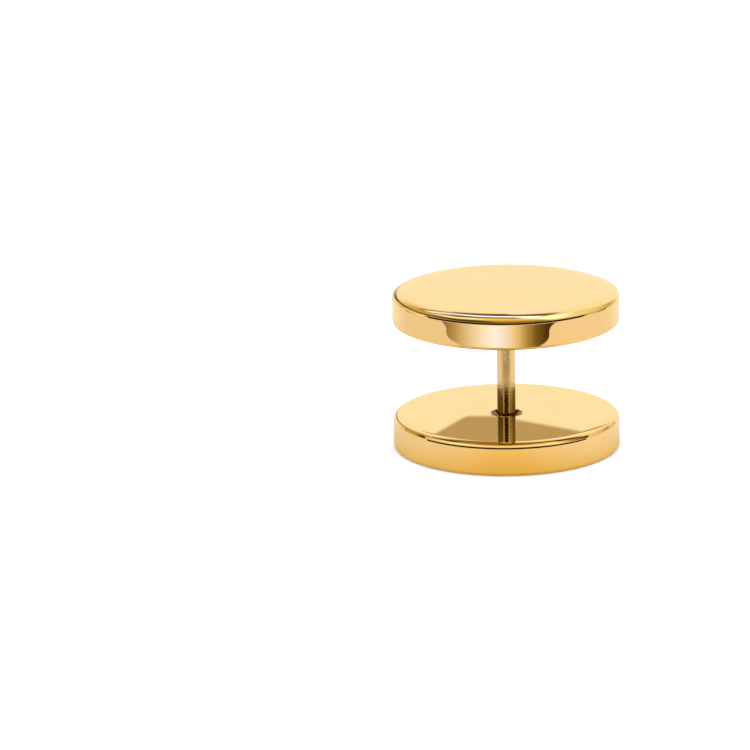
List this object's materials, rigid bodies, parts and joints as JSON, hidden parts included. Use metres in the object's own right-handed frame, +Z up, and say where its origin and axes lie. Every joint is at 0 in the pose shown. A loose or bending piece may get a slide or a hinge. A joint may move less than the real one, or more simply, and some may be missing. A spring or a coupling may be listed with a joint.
{
  "type": "dumbbell earring",
  "caption": "Dumbbell ear stud: polished gold discs either side of a slim post that fills the lobe gap; the back disc unscrews.",
  "frame": {"origin": "centre of the back disc's outer face, which the stud stands on", "axes": "+Z up along the post from the back disc to the front disc; the stud is round about Z"},
  "size_m": [0.014, 0.014, 0.0099],
  "materials": {
    "disc_gold": "mirror polished gold plate on steel",
    "post_gold": "finely ground gold plate on steel"
  },
  "bodies": {
    "back": {"back_disc": "disc_gold"},
    "front": {"front_disc": "disc_gold", "post": "post_gold"}
  },
  "joints": [
    {"name": "unscrew", "type": "slide", "parent": "back", "child": "front", "axis": [0, 0, 1], "range_m": [0, 0.01]}
  ]
}
